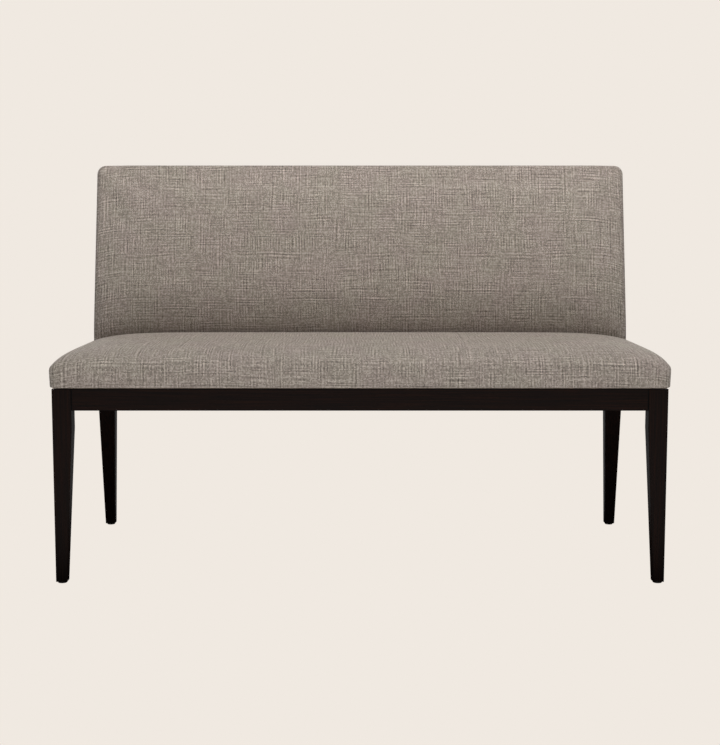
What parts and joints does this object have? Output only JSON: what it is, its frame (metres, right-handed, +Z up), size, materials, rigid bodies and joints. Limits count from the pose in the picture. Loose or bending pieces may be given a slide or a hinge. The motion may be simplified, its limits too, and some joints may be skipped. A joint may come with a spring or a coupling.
{
  "type": "upholstered settee",
  "caption": "Armless upholstered settee with a crowned seat and a leaning back in woven fabric, on a dark wooden base with tapered legs and raked rear legs.",
  "frame": {"origin": "on the floor under the middle of the settee's outer box", "axes": "+Z up, the front faces -Y, +X to the right of someone looking at the front"},
  "size_m": [1.32, 0.648, 0.914],
  "materials": {
    "stained_wood": "dark stained hardwood, satin lacquer",
    "frame_wood": "plain sawn and planed wood, unfinished",
    "fabric": "heathered taupe plain weave",
    "foam": "cut polyurethane foam",
    "webbing": "woven elastic webbing",
    "dust_cloth": "thin black non-woven cloth",
    "steel": "zinc plated",
    "glide": "moulded black plastic",
    "hardboard": "pressed fibre board"
  },
  "bodies": {
    "root": {"apron_dowels": "frame_wood", "back_board": "hardboard", "back_bottom_rails": "frame_wood", "back_cover": "fabric", "back_foam": "foam", "back_frame_screws": "steel", "back_left_stile": "frame_wood", "back_post_1": "frame_wood", "back_post_2": "frame_wood", "back_post_3": "frame_wood", "back_post_4": "frame_wood", "back_rear_cover": "fabric", "back_right_stile": "frame_wood", "back_top_rail": "frame_wood", "back_webbing": "webbing", "corner_block_screws": "steel", "crossrail": "frame_wood", "crossrail_dowels": "frame_wood", "dust_cover": "dust_cloth", "front_apron": "stained_wood", "front_left_corner_block": "frame_wood", "front_left_glide": "glide", "front_left_leg": "stained_wood", "front_right_corner_block": "frame_wood", "front_right_glide": "glide", "front_right_leg": "stained_wood", "left_apron": "stained_wood", "post_lag_screws": "steel", "post_washers": "steel", "rear_apron": "stained_wood", "rear_left_corner_block": "frame_wood", "rear_left_glide": "glide", "rear_left_leg": "stained_wood", "rear_right_corner_block": "frame_wood", "rear_right_glide": "glide", "rear_right_leg": "stained_wood", "right_apron": "stained_wood", "seat_cover": "fabric", "seat_foam": "foam", "seat_front_rail": "frame_wood", "seat_left_rail": "frame_wood", "seat_middle_rail": "frame_wood", "seat_rear_rail": "frame_wood", "seat_right_rail": "frame_wood", "seat_screws": "steel", "seat_webbing_front_to_back": "webbing", "seat_webbing_side_to_side": "webbing"}
  },
  "joints": []
}
